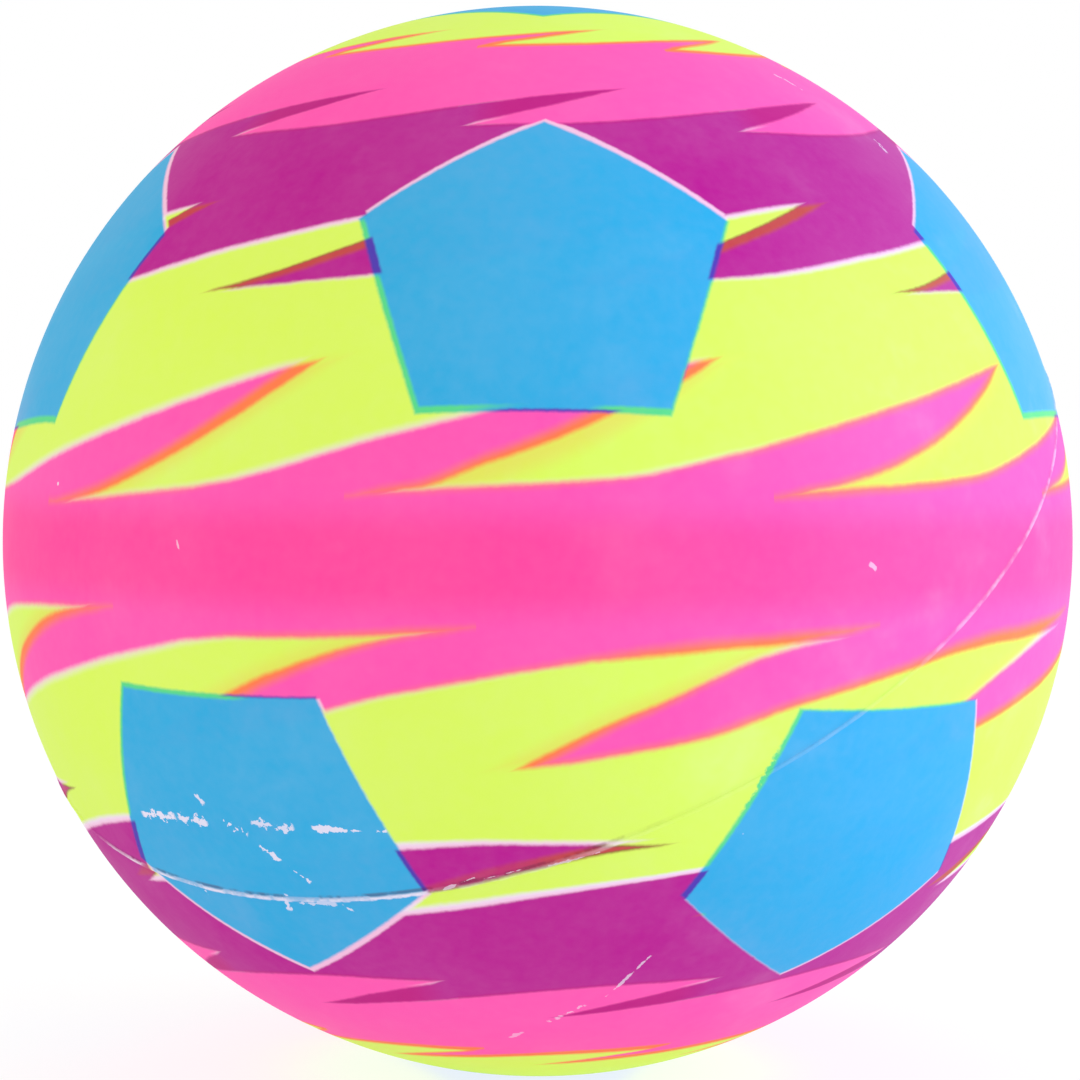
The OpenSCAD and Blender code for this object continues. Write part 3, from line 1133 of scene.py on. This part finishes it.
def skin_outline(skin):
    """Half section of the skin: over the ball, into the mouth, across the pad and back along the inside.

    The pad's flank widens at 45 degrees until it meets the inside of the skin. The number of points on the
    outside is given too.
    """
    inside = skin.radius - skin.wall
    face = skin.radius - skin.pad_depth
    rim = math.pi - math.asin(skin.mouth / skin.radius)
    spread = skin.pad + face
    widen = (math.sqrt(spread**2 - 2 * (skin.pad**2 + face**2 - inside**2)) - spread) / 2
    flank = (skin.pad + widen, face + widen)
    heel = math.pi - math.atan2(*flank)
    outer = arc(skin.radius, 0, rim - 2 * skin.rim / skin.radius, skin.outer_rows)
    inner = arc(inside, heel - HEEL_ROOM, 0, skin.inner_rows)
    lip = arc(skin.radius, rim, rim, 1)[0]
    corners = [outer[-1], lip, (skin.mouth, face), (skin.pad, face), flank, inner[0]]
    cuts = [0, skin.rim, skin.rim * SHARP_RIM, skin.rim, skin.rim, 0]
    edges = rounded(corners, cuts)[1:-1].reshape(-1, 2)
    return np.concatenate([outer, edges, inner]), len(outer)


def mean_wave(around, waves):
    """Mean of sines round the ball, given as numbers of waves and phases."""
    return sum(np.sin(number * around + phase) for number, phase in waves) / len(waves)


def line_sections(line, skin):
    """Points of the mould line: a low arch with sunk feet carried round the great circle of the joint.

    The arch is 1 less the square of the place across. Its height varies and its crest wanders sideways with
    means of sines round the ball, as a trimmed edge does.
    """
    axis = mould_axis(line)
    first = axis.orthogonal().normalized()
    second = axis.cross(first)
    around = np.linspace(0, 2 * math.pi, line.columns, endpoint=False)[:, None]
    way = np.cos(around) * np.array(first) + np.sin(around) * np.array(second)
    half = np.array(LINE_PLACES)
    across = np.concatenate([-half[::-1], half])[None, :]
    arch = np.where(abs(across) <= 1, 1 - across**2, 0)
    foot = np.where(abs(across) > 1, -line.root, 0)
    trimmed = line.ragged * (1 + mean_wave(around, HEIGHT_WAVES)) / 2
    lift = line.height * arch * (1 - trimmed) + foot
    aside = across * line.width / 2 + mean_wave(around, STRAY_WAVES) * line.wander * arch
    centre = way * (skin.radius + skin.swell * swelling(way)[:, None])
    return centre[:, None] + way[:, None] * lift[..., None] + np.array(axis) * aside[..., None]


def seat_outline(valve, skin):
    """Half section of the seat: sleeve, flange, collar and the pocket for the plug's head."""
    face, end = SEAT_HIGH.y, SEAT_LOW.y
    pad = skin.radius - skin.pad_depth
    under = pad - valve.flange
    pocket = face - valve.head - valve.head_gap
    flange_r = SEAT_HIGH.x
    sleeve_r = valve.bore + valve.wall
    pocket_r = PLUG_HIGH.x + valve.head_gap
    collar_r = pocket_r + valve.wall
    soft, crisp = valve.rounding, valve.rounding * SHARP_SEAT
    corners = [
        (valve.bore, end), (sleeve_r, end), (sleeve_r, under), (flange_r, under), (flange_r, pad),
        (collar_r, pad), (collar_r, face), (pocket_r, face), (pocket_r, pocket), (valve.bore, pocket),
    ]
    cuts = [soft, soft, valve.root, soft, crisp, crisp, soft, soft * POCKET_EDGE, crisp, soft]
    return rounded(corners, cuts).reshape(-1, 2)


def rib_corners(valve, top):
    """Corners of the sealing ribs from the head down: a steep shoulder and a long slope towards the tip."""
    rib_r = valve.bore - valve.slide_gap
    stem_r = rib_r - valve.rib_height
    tops = top - (valve.rib_pitch - valve.rib_length) / 2 - valve.rib_pitch * np.arange(valve.ribs)
    heights = tops[:, None] - np.array([0, valve.rib_height, valve.rib_length])
    return np.stack(np.broadcast_arrays([stem_r, rib_r, stem_r], heights), axis=-1).reshape(-1, 2)


def plug_outline(valve):
    """Half section of the plug from its tip up the ribbed stem, round the head and down its needle hole."""
    face, tip = PLUG_HIGH.y, PLUG_LOW.y
    head_r = PLUG_HIGH.x
    stem_r = valve.bore - valve.slide_gap - valve.rib_height
    floor = tip + valve.tip
    under = face - valve.head
    soft, crisp = valve.rounding, valve.rounding * SHARP_PLUG
    head = [
        (0, floor), (valve.needle, floor), (valve.needle, face - valve.funnel_depth), (valve.funnel, face),
        (head_r, face), (head_r, under), (stem_r, under),
    ]
    ribs = rib_corners(valve, under - valve.head_gap)
    end = [(stem_r, tip + valve.bevel), (stem_r - valve.bevel, tip), (0, tip)]
    corners = np.concatenate([head, ribs, end])
    head_cuts = [0, soft, soft, soft, soft * HEAD_EDGE, crisp, crisp]
    rib_cuts = [crisp, soft * RIB_CREST, crisp] * valve.ribs
    edges = rounded(corners, head_cuts + rib_cuts + [soft, soft, 0])[1:-1].reshape(-1, 2)
    return np.concatenate([corners[:1], edges, corners[-1:]])[::-1]


# Stage

# Width of the camera's sensor in millimetres, and the distances in metres between which it sees
SENSOR_WIDTH = 36.0
NEAREST, FARTHEST = 0.01, 50.0


def set_camera(stage, radius):
    """Camera before the ball: the ball's turn, the camera's elevation and its roll, undone in turn."""
    turn = Matrix.Rotation(stage.roll, 3, "Y") @ Matrix.Rotation(stage.height, 3, "X")
    turn = (turn @ Matrix.Rotation(stage.turn, 3, "Z")).transposed()
    camera = add_object("camera", bpy.data.cameras.new("camera"))
    camera.data.lens, camera.data.sensor_width = stage.lens, SENSOR_WIDTH
    camera.data.shift_x, camera.data.shift_y = stage.shift_x, stage.shift_y
    camera.data.clip_start, camera.data.clip_end = NEAREST, FARTHEST
    camera.matrix_world = (turn @ Matrix.Rotation(math.pi / 2, 3, "X")).to_4x4()
    camera.location = turn @ Vector((0, -stage.distance * radius, 0))
    bpy.context.scene.camera = camera


def lay_floor(stage):
    """Square floor under the lowest point of the ball."""
    corners = np.array([[-1, -1], [1, -1], [1, 1], [-1, 1]]) * stage.floor_reach
    mesh = bpy.data.meshes.new("floor")
    mesh.from_pydata([(x, y, SKIN_LOW.z) for x, y in corners.tolist()], [], [(0, 1, 2, 3)])
    mesh.materials.append(floor_paint(stage))
    floor = add_object("floor", mesh)


def hang_lamp(name, watts, tone, place, size):
    """Round lamp that faces the ball's centre."""
    light = bpy.data.lights.new(name, "AREA")
    light.shape, light.size = "DISK", size
    light.energy, light.color = watts, tone
    lamp = add_object(name, light)
    lamp.location = place
    lamp.rotation_euler = (-Vector(place)).to_track_quat("-Z", "Y").to_euler()


def light_room(stage):
    """Even light from all round, behind which the background shows white."""
    world = bpy.data.worlds.new("studio")
    bpy.context.scene.world = world
    world.use_nodes = True
    world.node_tree.nodes.clear()
    start = Wire(world.node_tree)
    even = start.node("Background", None, {"Color": WHITE, "Strength": stage.ambient})
    white = start.node("Background", None, {"Color": WHITE, "Strength": 1.0})
    sky = start.node("MixShader", None, {0: seen_ray(start), 1: even, 2: white})
    start.node("OutputWorld", None, {"Surface": sky})


# Operators

class BALL_OT_stage(bpy.types.Operator):
    """Sets up the camera, the pale floor, the even light and two weak lamps"""

    bl_idname = "play_ball.stage"
    bl_label = "Stage"

    def execute(self, context):
        ball = context.scene.play_ball
        stage = ball.stage
        context.scene.view_settings.view_transform = "Standard"
        set_camera(stage, ball.skin.radius)
        lay_floor(stage)
        hang_lamp("key_lamp", stage.key, stage.key_colour, stage.key_place, stage.lamp_size)
        hang_lamp("fill_lamp", stage.fill, stage.fill_colour, stage.fill_place, stage.lamp_size)
        light_room(stage)
        return {"FINISHED"}


class BALL_OT_skin(bpy.types.Operator):
    """Builds the hollow printed skin with its mouth and pad, and the raised mould line on it"""

    bl_idname = "play_ball.skin"
    bl_label = "Printed skin"

    def execute(self, context):
        ball = context.scene.play_ball
        skin, line = ball.skin, ball.line
        vinyl = printed_vinyl(ball)

        outline, outer = skin_outline(skin)
        points, faces = turned_solid(outline, skin.columns)
        last = len(outline) - 1
        row = np.concatenate([np.repeat(np.arange(1, last), skin.columns), [0, last]])
        way = points / np.linalg.norm(points, axis=1, keepdims=True)
        lift = np.where(row < outer, skin.swell * swelling(way), 0)
        points = points + way * lift[:, None]
        add_piece("printed_skin", points, faces, vinyl, BALL_BODY, "printed_vinyl", "skin")

        points = line_sections(line, skin)
        faces = grid_faces(*points.shape[:2], True).tolist()
        add_piece("mould_line", points, faces, vinyl, BALL_BODY, "printed_vinyl")
        return {"FINISHED"}


class BALL_OT_valve_seat(bpy.types.Operator):
    """Builds the flanged seat that is bonded inside the mouth"""

    bl_idname = "play_ball.valve_seat"
    bl_label = "Valve seat"

    def execute(self, context):
        ball = context.scene.play_ball
        points, faces = turned_ring(seat_outline(ball.valve, ball.skin), ball.valve.columns)
        add_piece("seat_bush", points, faces, seat_vinyl(ball), BALL_BODY, "seat_vinyl", "valve_seat")
        return {"FINISHED"}


class BALL_OT_valve_plug(bpy.types.Operator):
    """Builds the ribbed plug that pulls out of the seat"""

    bl_idname = "play_ball.valve_plug"
    bl_label = "Valve plug"

    def execute(self, context):
        ball = context.scene.play_ball
        points, faces = turned_solid(plug_outline(ball.valve), ball.valve.columns)
        add_piece("ribbed_plug", points, faces, plug_rubber(ball), PLUG_BODY, "plug_rubber", "valve_plug")
        return {"FINISHED"}


class BALL_PT_panel(bpy.types.Panel):
    """Settings and steps of the play ball"""

    bl_idname = "BALL_PT_panel"
    bl_label = "Play Ball"
    bl_space_type = "VIEW_3D"
    bl_region_type = "UI"
    bl_category = "Play Ball"

    def draw(self, context):
        ball = context.scene.play_ball
        for group, steps in PANEL_ROWS:
            box = self.layout.box()
            settings = getattr(ball, group)
            for name in settings.bl_rna.properties.keys():
                if name not in ("rna_type", "name"):
                    box.prop(settings, name)
            for step in steps:
                box.operator(step)


PANEL_ROWS = (
    ("stage", ("play_ball.stage",)),
    ("ink", ()),
    ("line", ()),
    ("skin", ("play_ball.skin",)),
    ("valve", ("play_ball.valve_seat", "play_ball.valve_plug")),
)

CLASSES = (
    SkinSettings, LineSettings, InkSettings, ValveSettings, StageSettings, BallSettings,
    BALL_OT_stage, BALL_OT_skin, BALL_OT_valve_seat, BALL_OT_valve_plug, BALL_PT_panel,
)


def register():
    """Adds the classes and the settings to Blender."""
    for cls in CLASSES:
        bpy.utils.register_class(cls)
    bpy.types.Scene.play_ball = PointerProperty(type=BallSettings)


def unregister():
    """Takes the settings and the classes out again."""
    del bpy.types.Scene.play_ball
    for cls in reversed(CLASSES):
        bpy.utils.unregister_class(cls)


def main():
    """Builds the stage and every piece."""
    register()
    bpy.ops.play_ball.stage()
    bpy.ops.play_ball.skin()
    bpy.ops.play_ball.valve_seat()
    bpy.ops.play_ball.valve_plug()


if __name__ == "__main__":
    main()
